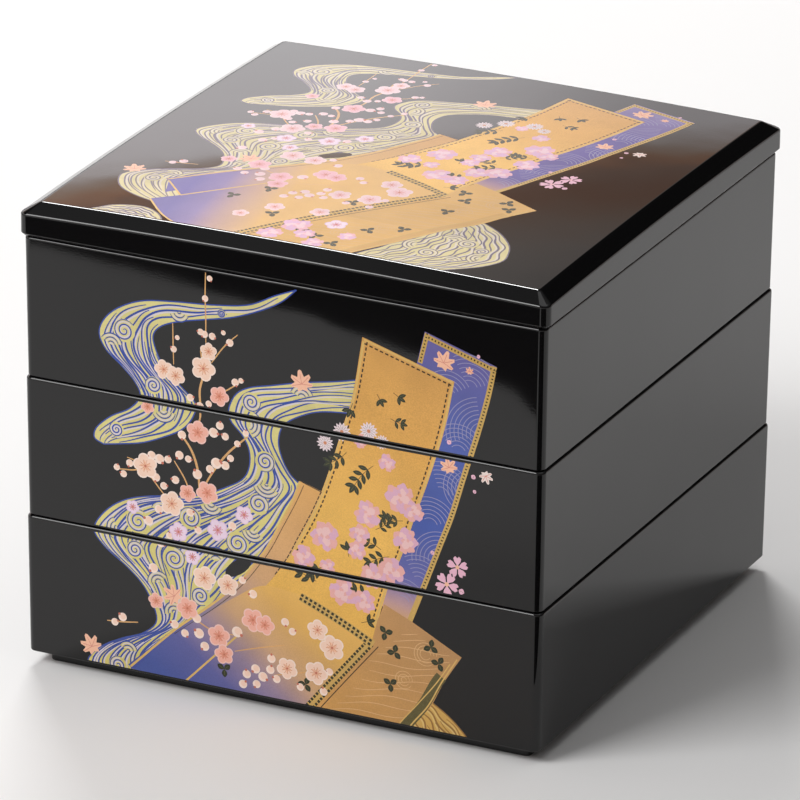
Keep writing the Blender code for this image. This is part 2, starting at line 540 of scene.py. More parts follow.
# The blue band, with its gold edge and fine wave lines.
blue_side = [(77, 131), (74.2, 120), (71, 109), (67.5, 97), (64, 85), (60, 74), (56, 63)]
blue_band = [Vector(p) for p in (
    (53.5, 149.5), (80, 141.5), (78, 131), (75.2, 120), (72, 109), (68.5, 97), (65, 85), (61, 74),
    (57, 63), (53, 52), (50, 44), (40, 44), (35, 60), (38, 85), (44, 110), (50, 135))]
lay("blue band", blue_band)
for u, v, rings, start, end in (
        (70, 132, 7, 20, 120), (62, 128, 5, 30, 150), (75, 116, 8, 100, 200),
        (66, 108, 6, 30, 140), (60, 92, 7, 10, 110), (70, 96, 5, 120, 230), (56, 80, 6, 20, 130),
        (60, 68, 6, 80, 190), (52, 58, 6, 20, 120), (46, 50, 5, 20, 100)):
    for k in range(rings):
        stroke_within("wave line", arc_line((u, v), 3.0 + 1.5 * k, start, end), 0.24, blue_band)
stroke("gold edge", flowing([(54.8, 147.6), (78.6, 140.2)]), 1.9)
stroke("gold edge", flowing([(79, 141.5)] + blue_side + [(52, 52), (49, 44)]), 2.0)
stroke("gold edge", flowing([(54.4, 149), (51.8, 138)]), 1.7)
stitches("bead", flowing([(54.8, 147.6), (78.0, 140.5), (78.8, 139.5)] + blue_side
                         + [(52.5, 54)]), 0.7, 0.55, 0.75)
stitches("bead", flowing([(54.4, 149), (51.8, 138)]), 0.6, 0.55, 0.75)

# The broad gold band and the narrow strip at its left.
lay("gold band", [(30.5, 143.5), (64.5, 133.5)] + flowing(
    [(64.5, 133.5), (62, 120), (59, 108), (55, 95), (50.5, 82), (46, 68), (41, 55), (35, 34)])
    + flowing([(35, 34), (10, 44), (-10, 42)]) + flowing(
    [(-10, 42), (-4, 48), (3, 58), (7, 66), (12, 76), (16, 86), (19, 95), (21.5, 103), (24, 112),
     (27, 122), (30.5, 143.5)]))
gold_sides = (flowing([(31.2, 142.6), (63.9, 133.1)]),
              flowing([(63.9, 132.6), (61.4, 120), (58.4, 108), (54.4, 95), (49.9, 82), (45.4, 68),
                       (40.4, 55), (36, 40)]),
              flowing([(31, 142), (27.6, 122), (24.6, 112), (22, 103), (19.6, 95), (16.6, 86),
                       (12.6, 76), (7.6, 66), (3, 58)]))
for side, (across, down) in zip(gold_sides, ((0, -1.3), (-1.3, 0), (1.3, 0))):
    stroke("gold line", side, 0.8)
    stitches("ink", [p + Vector((across, down)) for p in side], 0.55, 1.3, 0.7)
lay("strip", [(8, 87.5), (16, 85)] + flowing(
    [(16, 85), (12, 76), (7, 66), (3, 58), (-4, 48), (-14, 36), (-30, 20), (-52, -5)])
    + [(-56, 5.5)] + flowing([(-58, 7), (-40, 24), (-25, 37), (-15, 47), (-8, 56), (-4, 62),
                              (0, 70), (5, 80), (8, 87.5)]))
stroke("gold line", flowing([(-57, 6.5), (-40, 23.4), (-25, 36.4), (-15, 46.4), (-8.4, 55.4),
                             (-4.4, 61.4), (-0.4, 69.4), (4.6, 79.4), (7.6, 87.2)]), 0.8)
stroke("ink", flowing([(-40, 22), (-24, 35.2), (-14, 45.2), (-7, 54.6), (-3, 61), (1, 69),
                       (6, 79), (9, 86)]), 0.25)
stroke("ink", [Vector((8, 87.3)), Vector((15.8, 84.8))], 0.35)
stitches("ink", flowing([(15.6, 85), (11.6, 76), (6.6, 66), (2.6, 58), (-2.6, 50)]), 0.4, 1.6, 0.5)

# The wide evening-coloured band that lies over the foot of the others, and its lower neighbour.
lay("evening band", [(35, 34)] + flowing([(35, 34), (24, 20), (12, 5), (0, -11), (-13, -30)])
    + [(-34, -31), (-44, -23.5), (-54, -12.5), (-46, -5.5), (-56, 5.5)] + flowing(
    [(-56, 5.5), (-42, 20), (-30, 30), (-17, 40), (-6, 46.5), (7, 46)]))
stroke("gold line", flowing([(-15, 27), (-25, 16.5), (-35, 6), (-46, -5.5)]), 0.7)
stroke("gold line", [Vector((-56, 5.5)), Vector((-46, -5.5))], 0.7)
stroke("gold line", flowing([(-54, -12.5), (-44, -23.5), (-34, -31)]), 0.7)
lay("bronze band", [(50, 44), (68.5, 34.5)] + flowing(
    [(68.5, 34.5), (62, 24), (57, 14), (50, 5), (43, -7), (36, -18.5), (28, -31)])
    + flowing([(-13, -31), (0, -11), (12, 5), (24, 20), (35, 34)]) + [(37, 42), (39.5, 48.5)])
grain = [Vector(p) for p in ((48, 43), (66, 33.5), (60, 22), (54, 12), (44, -4), (30, -26),
                             (-6, -27), (14, 0), (37, 31))]
for k in range(22):
    run = [Vector((-8 + 3 * j, 34 - 3.1 * k + 0.30 * j + 0.8 * math.sin(0.62 * j + 1.3 * k)))
           for j in range(27)]
    stroke_within("grain line", run, 0.3, grain, 0.5)
for u, v, radius in ((55, 33, 4.2), (47, 22, 3.2), (30, -4, 3.6), (18, -14, 3)):
    for ring in range(3):
        stroke("grain line", arc_line((u, v), radius - 1.1 * ring, 0, 330), 0.28, 0.4)
stroke("dark border", flowing([(61.0, 26), (58.8, 22.6), (54.0, 13.6), (47.2, 4.4), (40.2, -7.4),
                               (33.2, -18.8), (25.8, -31)]), 4.2)
stroke("gold line", flowing([(66.8, 33.4), (61.2, 24), (56, 14), (49.2, 5), (42.2, -7),
                             (35.2, -18.4), (27.6, -31)]), 0.5)
stroke("gold line", flowing([(64.2, 31.2), (59, 23), (52, 13.8), (45, 4.8), (38, -7),
                             (31, -18.4), (23.8, -31)]), 0.4)
border = ((34.4, 33.4), (23.2, 19.6), (11.2, 4.6), (-0.8, -11.4), (-14, -31))
stroke("gold edge", flowing(border), 3.2)
for side in (-0.8, 0.8):
    row = flowing([(u + side, v - side) for u, v in border])
    stitches("bead", row, 1.0, 0.95, 0.6)
top_row = flowing([(8, 45.2), (17, 41.6), (26, 37.6), (35.5, 32.8)])
stroke("gold edge", top_row, 3.2)
for side in (-0.8, 0.8):
    stitches("bead", [p + Vector((0.35, 0.9)) * side for p in top_row], 1.0, 1.0, 0.65)
stroke("ink", flowing([(37.4, 32.4), (26, 18.4), (14, 3.2), (2, -13), (-11, -31)]), 0.35)

# Leaves, drawn in dark green on the bands.


def leaf(u, v, length, heading, wide=0.36, paint="leaf"):
    """One pointed leaf with a pale rib."""
    along, root = toward(heading), Vector((u, v))
    side = Vector((-along.y, along.x))
    shares = [k / 8 for k in range(9)]
    upper, lower = ([root + along * length * t + way * length * wide
                     * math.sin(math.pi * t) ** 0.8 / 1.6 for t in shares]
                    for way in (side, -side))
    lay(paint, upper[::-1] + lower[1:-1])
    stroke("rib", [root + along * length * 0.2, root + along * length * 0.7], 0.12)


def spray(u, v, heading, pairs, size, bend):
    """A stem with leaves in pairs and one at its tip."""
    point, stem = Vector((u, v)), [Vector((u, v))]
    for k in range(pairs):
        heading += bend
        point = point + size * 0.72 * toward(heading)
        stem.append(point)
        for way in (1, -1):
            leaf(point.x, point.y, size, heading + way * 52)
    stroke("ink", stem, 0.2)
    leaf(point.x, point.y, size, heading)


for bunch in (
        (36, 124, 300, 1, 3.4, 0), (42, 125.5, 330, 1, 3.6, 0), (41, 116, 330, 2, 3.2, 10),
        (27, 119, 250, 1, 4.0, 0), (35, 98, 215, 4, 4.4, 6), (25, 101, 235, 3, 4.0, -8),
        (38, 68, 140, 3, 3.8, 12), (46, 80, 200, 3, 3.4, -10), (41, 66, 190, 3, 4.0, 8),
        (36, 75, 20, 3, 3.2, 10), (17, 58, 200, 2, 4.4, 10), (14, 52, 160, 2, 4.4, 0),
        (34, 50, 150, 2, 4.0, 10), (31, 40, 20, 1, 3.8, 0), (26, 63, 100, 1, 4.0, 0)):
    spray(*bunch[:4], 0.86 * bunch[4], bunch[5])
for u, v, turn in (
        (40, 38, 20), (43.5, 31.5, 80), (42, 19.5, 40), (57, 36, 330), (60, 30.5, 60),
        (-21, 12.5, 40), (10, 13, 70), (-30, 2, 30), (6, -18, 50), (20, -24, 320), (12, -20, 20),
        (26, -8, 80), (36, -2, 30), (-10, -8, 60)):
    for way in (0, 110, 235):
        leaf(u, v, 3.0, turn + way, 0.56)


# Blooms. Each is a plain flower of its kind, with a paler heart and fine stamens.
def bud(u, v, radius, heading):
    """A round bud, lit at one side, on its calyx."""
    lay("petal edge", ring_points((u, v), radius, 14))
    lay("petal", ring_points((u + 0.16 * radius, v + 0.16 * radius), radius * 0.68, 12))
    foot = Vector((u, v)) - radius * 0.95 * toward(heading)
    lay("calyx", ring_points(foot, radius * 0.3, 8))


def plum(u, v, radius, turn, tone):
    """A plum flower of five round petals, deeper coloured towards its heart."""
    edge, face, heart = tone + "petal edge", tone + "petal", tone + "petal heart"
    ways = [toward(turn + 72 * k) for k in range(5)]
    for way in ways:
        lay(edge, ring_points(Vector((u, v)) + way * radius * 0.55, radius * 0.47, 16))
    for way in ways:
        lay(face, ring_points(Vector((u, v)) + way * radius * 0.53, radius * 0.38, 14))
    lay(heart, [Vector((u, v)) + radius * (0.34 + 0.12 * math.cos(5 * (a - math.radians(turn))))
                * Vector((math.cos(a), math.sin(a)))
                for a in (2 * math.pi * j / 30 for j in range(30))])
    for k in range(10):
        way = toward(turn + 36 * k + 9)
        stroke("stamen", [Vector((u, v)), Vector((u, v)) + way * radius * 0.42], 0.16)
        lay("stamen", ring_points(Vector((u, v)) + way * radius * 0.46, 0.17, 6))
    lay("calyx", ring_points((u, v), radius * 0.09, 8))


def maple(u, v, radius, turn, paint):
    """A maple leaf of seven points."""
    outline = []
    for angle, reach in ((-90, 0.40), (-56, 0.66), (-34, 0.46), (-16, 0.78), (-2, 0.84), (16, 0.52),
                         (32, 0.88), (46, 0.96), (64, 0.56), (82, 0.96), (90, 1.04), (98, 0.96),
                         (116, 0.56), (134, 0.96), (148, 0.88), (164, 0.52), (182, 0.84),
                         (196, 0.78), (214, 0.46), (236, 0.66)):
        outline.append(Vector((u, v)) + radius * reach * toward(angle + turn))
    lay(paint, outline)
    for angle in (-8, 40, 90, 140, 188):
        tip = Vector((u, v)) + radius * 0.75 * toward(angle + turn)
        stroke("maple rib", [Vector((u, v)), tip], 0.2)


def daisy(u, v, radius):
    for k in range(14):
        leaf(u, v, radius, 360 * k / 14, 0.26, "daisy")
    lay("stamen", ring_points((u, v), radius * 0.2, 10))


def cherry(u, v, radius, turn):
    """A cherry flower whose five petals are notched at their tips."""
    for k in range(5):
        lay("cherry", [Vector((u, v)) + radius * reach * toward(turn + 72 * k + angle)
                       for angle, reach in ((-4, 0.1), (-30, 0.62), (-24, 0.92), (-10, 1.06),
                                            (0, 0.86), (10, 1.06), (24, 0.92), (30, 0.62),
                                            (4, 0.1))])
    lay("petal heart", ring_points((u, v), radius * 0.2, 10))


def cluster(u, v, radius, turn):
    """A soft full bloom: ruffled petals in pink and lilac, paler and smaller towards the heart."""
    middle = Vector((u, v))
    for count, reach, size, paints_used in ((7, 0.60, 0.50, ("soft pink", "soft lilac")),
                                            (5, 0.36, 0.36, ("soft light", "soft lilac")),
                                            (4, 0.16, 0.20, ("soft pink", "soft light"))):
        turn += 31
        for k in range(count):
            way = math.radians(turn + (360 / count) * k + 9 * math.sin(3 * k + u))
            across = Matrix.Rotation(way, 2)
            petal = [middle + across @ Vector((
                radius * (reach + size * math.cos(a) * (1 + 0.10 * math.sin(4 * a + k))),
                0.8 * radius * size * math.sin(a) * (1 + 0.16 * math.sin(5 * a + 2 * k))))
                for a in (2 * math.pi * j / 22 for j in range(22))]
            lay(paints_used[k % 2], petal)


for k, spot in enumerate(
        ((45, 88, 5.2), (50, 84, 3.6), (33, 80, 4.6), (30, 72, 3.6), (17, 69, 5.0), (29, 66, 3.2),
        (42, 61, 4.6), (35, 58, 4.2), (9, 60, 4.0), (18, 58, 2.8), (24, 50, 4.8), (32, 48, 4.0),
        (47, 73, 4.4), (40, 100, 3.0), (30, 106, 2.4), (2, -14, 5.0), (8, -20, 3.6),
        (-3, -24, 4.2), (14, -26, 3.6), (22, -16, 3.0))):
    cluster(*spot, 23 * k)
for twig, wide in (
        ([(-28, 157), (-28.2, 148), (-28, 140), (-28, 131)], 0.5),
        ([(-40.5, 136), (-40.4, 129), (-40.2, 121)], 0.45),
        ([(-30, 128), (-29, 120), (-30.4, 113), (-30, 104), (-32, 98)], 0.8),
        ([(-38, 97), (-33.4, 91), (-31, 84), (-30.4, 76)], 0.9),
        ([(-12, 100), (-19.5, 92.6), (-25, 85), (-29, 78)], 0.8),
        ([(-16, 136), (-21, 131), (-26, 124)], 0.5), ([(-14, 120), (-19, 116), (-25, 112)], 0.5),
        ([(-63, 79), (-57, 79.5), (-51, 80), (-45, 74), (-41, 70)], 0.55),
        ([(-40, 86), (-36, 80), (-34, 75)], 0.55), ([(-58, 84), (-53, 83), (-48, 82)], 0.5),
        ([(-66, 22), (-60, 22.6), (-54, 23.6)], 0.5),
        ([(-38, 32), (-32, 29), (-25, 26), (-17, 26)], 0.5),
        ([(-17, 20), (-8, 23), (2, 26)], 0.45), ([(-2, 14), (5, 16), (12, 18)], 0.45)):
    stroke("twig", flowing(twig), wide, 0.35)
for u, v, radius in (
        (-26.5, 154.5, 1.1), (-28.2, 147, 1.2), (-28.5, 134, 1.3), (-25.6, 133.8, 1.3),
        (-19, 132.6, 1.4), (-21.4, 135.8, 0.9), (-40.2, 126.6, 1.2), (-38.8, 131, 0.9),
        (-30, 134.6, 1.2), (-17, 118.6, 1.4), (-14.8, 119.6, 1.0), (-30.4, 107.4, 1.6),
        (-27, 109, 1.2), (-34, 110, 1.4), (-37, 96, 1.6), (-25, 99, 1.8), (-22.6, 102, 1.5),
        (-20.6, 98.4, 1.4), (-16, 96.6, 1.2), (-12.8, 101, 1.2), (-24, 88, 2.0),
        (-26.4, 85.4, 1.5), (-20.6, 87.8, 1.6), (-18.6, 90.8, 1.3), (-38, 88.4, 1.6),
        (-34.6, 87.6, 1.3), (-31.2, 82.6, 1.8), (-47, 78.6, 1.6), (-44, 76, 1.4), (-57, 82, 1.4),
        (-59.4, 77.6, 1.3), (-62, 79.6, 1.2), (-48.6, 86.4, 1.6), (-45.6, 85.6, 1.8),
        (-42.4, 86, 1.4), (-39.6, 79, 1.5), (-46, 67, 1.6), (-50, 62, 1.8), (-34, 68, 1.5),
        (-31, 62, 1.4), (-45, 55, 1.7), (-42, 58, 1.3), (-18, 66, 1.6), (-48, 45, 1.8),
        (-60, 24.4, 1.6), (-63, 22, 1.4), (-40, 25.6, 1.6), (-36, 23, 1.5), (-31.4, 29.4, 1.7),
        (-30.6, 24, 1.9), (-28.4, 19.6, 1.7), (-16, 27.4, 2.0), (-12.4, 12.4, 1.6), (-9, 15, 1.7),
        (-6.2, 12.6, 1.8), (-3.4, 15.8, 1.6), (-1, 12.8, 1.5), (-13.8, 8.4, 1.6), (-8.6, 9.4, 1.5),
        (-3, 20, 1.6), (-4.4, 31.4, 1.6), (2.2, 34.6, 1.5), (5, 31.6, 1.4), (8, 11.6, 1.4),
        (16.8, 11.6, 1.5), (19, 19.4, 1.4), (-10, 42.6, 1.6), (-14, 47, 1.4)):
    bud(u, v, radius, 20 + 37 * u)
for k, (u, v, radius, tone) in enumerate((
        (-29, 121.5, 4.6, 0), (-27, 128, 3.2, 0), (-44, 118.5, 3.6, 0), (-39.5, 117, 3.6, 0),
        (-23, 112.5, 3.7, 1), (-31, 98, 4.3, 1), (-51, 82, 4.7, 0), (-27.5, 76.5, 4.2, 1),
        (-35, 75, 3.2, 1), (-41, 70, 4.6, 0), (-38.5, 60, 3.6, 2), (-23.5, 63.5, 4.0, 2),
        (-13.5, 71, 3.4, 2), (-28.5, 45, 4.5, 0), (-19.5, 44, 4.0, 0), (-35, 32.5, 4.2, 1),
        (-10, 33, 4.4, 1), (-5.5, 32, 3.8, 1), (14.5, 34, 3.9, 0), (20, 28.5, 4.7, 0),
        (3, 17.5, 4.0, 0), (14, 18, 4.4, 0), (-23, 24.5, 4.3, 1), (-21, 18, 3.7, 1),
        (-50, 104, 2.6, 1), (-56, 66, 2.6, 2), (-33, 52, 3.0, 2), (-47, 33, 3.0, 1),
        (14, -8, 4.0, 2), (4, 0, 3.6, 0), (-12, -2, 3.6, 0), (-20, -12, 3.0, 0))):
    plum(u, v, radius, 17 * k, ("", "deep ", "lilac ")[tone])
for u, v, radius, turn, tone in (
        (8, 122.5, 5.0, 10, "maple"), (60.5, 139.5, 4.6, -20, "maple"),
        (63, 102.5, 3.8, 15, "maple"), (-72, 11, 4.8, 30, "maple"),
        (76.5, 102, 3.0, 200, "pale maple"), (-40, 36, 4.6, 60, "maple"),
        (70, 138, 1.8, 0, "maple")):
    maple(u, v, radius, turn, tone)
for u, v, radius in ((33, 110, 3.4), (17, 103, 3.2), (23, 108, 3.4), (38, 107, 2.6)):
    daisy(u, v, radius)
for u, v, radius, turn in ((66.4, 67, 3.8, 20), (62.5, 60, 4.2, 60)):
    cherry(u, v, radius, turn)
for u, v, length, heading in (
        (69, 58, 2.2, 160), (71.5, 100, 1.8, 60), (72.5, 144, 1.4, 0), (63.5, 111, 1.8, 150),
        (56.5, 70, 1.6, 40), (73, 96, 1.4, 220)):
    leaf(u, v, length, heading, 0.8, "cherry")


# The paints. Each is a pigment or metal powder, laid flat and coated with clear lacquer. The map
# that places them spans a square of this side, in millimetres.
PICTURE_SIDE = 200


def linear(red, green, blue):
    """A colour as it looks, 0 to 255, as the shader's light values."""
    return tuple((c / 255 / 12.92) if c <= 10 else ((c / 255 + 0.055) / 1.055) ** 2.4
                 for c in (red, green, blue)) + (1.0,)


def powder_group():
    """Powdered paint: a colour broken up by fine grains and by a slow change of depth."""
    group, given, out = new_group(
        "powdered paint", [("Colour", "Color", (0.5, 0.5, 0.5, 1.0)), ("Grain", "Float", 0.2),
                           ("Drift", "Float", 0.1)], [("Colour", "Color")])
    both = add_node(group, "Math", operation="MULTIPLY")
    for number, (scale, detail, amount) in enumerate(((2600.0, 1.0, "Grain"),
                                                      (70.0, 2.0, "Drift"))):
        noise = noise_on(group, scale, detail)
        centred = add_node(group, "Math", {1: 0.5}, "SUBTRACT")
        link(group, noise.outputs["Fac"], centred.inputs[0])
        share = add_node(group, "Math", {2: 1.0}, "MULTIPLY_ADD")
        link(group, centred.outputs[0], share.inputs[0])
        link(group, given.outputs[amount], share.inputs[1])
        link(group, share.outputs[0], both.inputs[number])
    scaled = add_node(group, "VectorMath", operation="SCALE")
    link(group, given.outputs["Colour"], scaled.inputs[0])
    link(group, both.outputs[0], scaled.inputs["Scale"])
    link(group, scaled.outputs["Vector"], out.inputs["Colour"])
    return group


POWDER = powder_group()


def set_ramp(ramp, stops):
    """Gives a colour ramp these stops, as (position, colour), from its low end to its high."""
    elements = ramp.color_ramp.elements
    for element, (position, colour) in zip(elements, (stops[0], stops[-1])):
        element.position, element.color = position, colour
    for position, colour in stops[1:-1]:
        elements.new(position).color = colour


def paint(name, stops, grain, drift=0.15, metal=0.0, rough=0.16, start=(0, 0), end=(0, 1)):
    """A paint whose colour runs through the stops from start to end, in picture millimetres."""
    material, tree, shader = coated(name, rough, spread=0.05, bump=0.00006)
    shader.inputs["Metallic"].default_value = metal
    ramp = add_node(tree, "ValToRGB")
    set_ramp(ramp, [(position, linear(*colour)) for position, colour in stops])
    spot = add_node(tree, "UVMap")
    spot.uv_map = "picture"
    start, end = (Vector(place).to_3d() / PICTURE_SIDE for place in (start, end))
    shifted = add_node(tree, "VectorMath", {1: start}, "SUBTRACT")
    link(tree, spot.outputs["UV"], shifted.inputs[0])
    run = add_node(tree, "VectorMath", {1: (end - start) / (end - start).length_squared},
                   "DOT_PRODUCT")
    link(tree, shifted.outputs["Vector"], run.inputs[0])
    link(tree, run.outputs["Value"], ramp.inputs["Fac"])
    powder = add_node(tree, "Group")
    powder.node_tree = POWDER
    powder.inputs["Grain"].default_value = grain
    powder.inputs["Drift"].default_value = drift
    link(tree, ramp.outputs["Color"], powder.inputs["Colour"])
    link(tree, powder.outputs["Colour"], shader.inputs["Base Color"])
    return material


def plain(red, green, blue):
    """The stops of a paint that is all but one colour."""
    return [(0.0, (red, green, blue)), (1.0, (red * 0.96, green * 0.96, blue * 0.97))]


paints = {"ground": lacquer}

# The bands and streams change colour from start to end. The last numbers of each are its grain,
# its drift and, in the metal ones, its share of metal and its roughness.
for name, stops, start, end, *finish in (
        ("stream", [(0, (204, 182, 104)), (0.3, (206, 194, 112)), (1, (206, 196, 132))],
         (0, -30), (0, 150), 0.25, 0.4),
        ("stream line", [(0, (76, 72, 96)), (0.25, (52, 72, 146)), (1, (46, 70, 150))],
         (0, -30), (0, 130), 0.1, 0.4),
        ("blue band", [(0, (214, 165, 88)), (0.08, (176, 140, 140)), (0.16, (98, 98, 160)),
                       (0.35, (60, 82, 158)), (0.7, (72, 88, 158)), (1, (104, 94, 150))],
         (50, 40), (66, 150), 0.2, 0.35),
        ("lid blue band", [(0, (214, 165, 88)), (0.08, (160, 128, 146)), (0.16, (90, 78, 150)),
                           (0.7, (92, 80, 150)), (1, (130, 114, 158))],
         (50, 40), (66, 150), 0.2, 0.35),
        ("gold band", [(0, (222, 172, 80)), (0.35, (228, 178, 86)), (0.7, (214, 160, 78)),
                       (1, (204, 152, 82))], (10, 40), (50, 142), 0.5, 0.3, 0.12, 0.2),
        ("strip", [(0, (62, 76, 146)), (0.2, (84, 88, 146)), (0.4, (150, 130, 140)),
                   (0.6, (200, 156, 110)), (1, (212, 160, 92))],
         (-50, 5), (12, 86), 0.3, 0.25, 0.05, 0.2),
        ("lid strip", [(0, (86, 74, 150)), (0.12, (116, 96, 152)), (0.3, (176, 140, 122)),
                       (0.45, (206, 160, 92)), (1, (196, 146, 82))],
         (-50, 5), (12, 86), 0.3, 0.25, 0.05, 0.2),
        ("evening band", [(0, (66, 82, 150)), (0.28, (88, 90, 148)), (0.5, (144, 124, 146)),
                          (0.7, (194, 154, 114)), (1, (216, 168, 86))],
         (-26, -8), (8, 36), 0.3, 0.3, 0.05, 0.2),
        ("lid evening band", [(0, (88, 76, 152)), (0.3, (122, 102, 156)),
                              (0.55, (174, 138, 134)), (1, (212, 164, 86))],
         (-46, -4), (-12, 0), 0.3, 0.3, 0.05, 0.2),
        ("bronze band", [(0, (214, 162, 76)), (0.4, (200, 150, 82)), (1, (180, 136, 88))],
         (0, -30), (60, 40), 0.4, 0.3, 0.12, 0.22)):
    paints[name] = paint(name, stops, *finish, start=start, end=end)
for name, colour, *finish in (
        ("gold edge", (206, 168, 92), 0.4, 0.15, 0.15),
        ("gold line", (222, 182, 104), 0.3, 0.15, 0.15),
        ("stream light", (212, 202, 204), 0.1), ("far stream", (206, 164, 84), 0.25, 0.3),
        ("far stream line", (150, 108, 54), 0.1), ("far stream light", (218, 186, 112), 0.1),
        ("wave line", (150, 146, 180), 0.1), ("grain line", (214, 172, 118), 0.2),
        ("dark border", (92, 84, 44), 0.9), ("bead", (46, 44, 22), 0.3),
        ("ink", (58, 42, 22), 0.3), ("leaf", (40, 46, 22), 0.3), ("rib", (104, 100, 50), 0.2),
        ("petal edge", (246, 222, 206), 0.1), ("petal", (244, 208, 184), 0.1),
        ("petal heart", (240, 188, 156), 0.2), ("deep petal edge", (242, 196, 184), 0.1),
        ("deep petal", (240, 176, 156), 0.1), ("deep petal heart", (230, 146, 124), 0.1),
        ("lilac petal edge", (226, 196, 220), 0.1), ("lilac petal", (236, 212, 228), 0.1),
        ("lilac petal heart", (220, 158, 188), 0.1), ("stamen", (206, 134, 96), 0.2),
        ("calyx", (196, 108, 86), 0.2), ("maple", (246, 190, 158), 0.15),
        ("pale maple", (240, 222, 212), 0.15), ("maple rib", (218, 136, 120), 0.15),
        ("daisy", (232, 214, 216), 0.1), ("cherry", (234, 182, 200), 0.1),
        ("soft pink", (232, 172, 164), 0.15), ("soft lilac", (222, 172, 192), 0.15),
        ("soft light", (238, 194, 190), 0.1), ("twig", (214, 164, 104), 0.3)):
    paints[name] = paint(name, plain(*colour), *finish)

# On the lid the same figures are paler and pinker, and the streams' lines are greyer.
for name, colour in (
        ("stream", (214, 200, 146)), ("stream line", (108, 98, 118)),
        ("stream light", (218, 206, 190)), ("bronze band", (216, 168, 92)),
        ("dark border", (204, 158, 88)), ("petal edge", (240, 212, 212)),
        ("petal", (238, 200, 204)), ("petal heart", (234, 178, 184)),
        ("deep petal edge", (240, 194, 200)), ("deep petal", (238, 180, 190)),
        ("deep petal heart", (228, 156, 168)), ("soft pink", (234, 178, 190)),
        ("soft lilac", (224, 178, 208)), ("soft light", (240, 204, 212))):
    paints["lid " + name] = paint("lid " + name, plain(*colour), 0.2, 0.3)
for kind in ("", " line", " light"):
    paints["lid far stream" + kind] = paints["lid stream" + kind]

# Each painted face is cut along the picture's outlines, so that the paint lies level with the
# lacquer round it. A narrow rim of lacquer stays between the picture and the edges of the face.
RIM = 0.4
FRONT_RIM = 1.0
SAME_PLACE = 1e-4
CUT_CLOSENESS = 0.004
PER_METRE = 1000
CUT_AT_ONCE = 4000

# The whole map holds the painted face in its upper part and a cell for each plain face below.
MAP_MARGIN = 0.004
PICTURE_FROM = 0.25
CELLS_TO = 0.24
CELL_REACH = 0.42


def cut_flat(points, outlines):
    """Triangles over the points, with an edge along every side of the outlines."""
    cut = delaunay_2d_cdt(points, [], outlines, 0, CUT_CLOSENESS, True)
    return cut[0], cut[2], cut[3]


def topmost(middles, parts):
    """For each middle the number of the last patch over it, or -1 where there is none."""
    order = np.argsort(middles[:, 0])
    xs = middles[order, 0]
    top = np.full(len(middles), -1)
    for number, ring in parts:
        (left, low), (right, high) = ring.min(0), ring.max(0)
        near = order[np.searchsorted(xs, left):np.searchsorted(xs, right)]
        near = near[(middles[near, 1] > low) & (middles[near, 1] < high)]
        for part in np.array_split(near, max(1, len(near) // CUT_AT_ONCE)):
            x, y = middles[part, 0][:, None], middles[part, 1][:, None]
            ax, ay = ring[:, 0], ring[:, 1]
            bx, by = np.roll(ax, -1), np.roll(ay, -1)
            side = (bx - ax) * (y - ay) - (x - ax) * (by - ay)
            turns = ((ay <= y) & (by > y) & (side > 0)).sum(1)
            turns -= ((ay > y) & (by <= y) & (side < 0)).sum(1)
            top[part[turns != 0]] = number
    return top


def walked_rim(body, faces):
    """The corners round these faces of the body, in order."""
    nearby = {}
    for edge in body.edges:
        if sum(face in faces for face in edge.link_faces) == 1:
            for vert in edge.verts:
                nearby.setdefault(vert, []).append(edge.other_vert(vert))
    first = max(nearby, key=lambda vert: vert.co.x + vert.co.y + vert.co.z)
    walked, before = [first], None
    while True:
        ahead = [vert for vert in nearby[walked[-1]] if vert is not before]
        before = walked[-1]
        if ahead[0] is first or len(walked) > len(nearby):
            return walked
        walked.append(ahead[0])


def give_cells(faces, whole_map):
    """Gives each unpainted face a cell of its own in the lowest quarter of the whole map."""
    across = math.ceil(math.sqrt(len(faces) / CELLS_TO))
    for number, face in enumerate(faces):
        column, row = number % across, number // across
        for k, corner in enumerate(face.loops):
            a = 2 * math.pi * (k + 0.5) / len(face.loops)
            corner[whole_map].uv = ((column + 0.5 + CELL_REACH * math.cos(a)) / across,
                                    (row + 0.5 + CELL_REACH * math.sin(a)) / across)


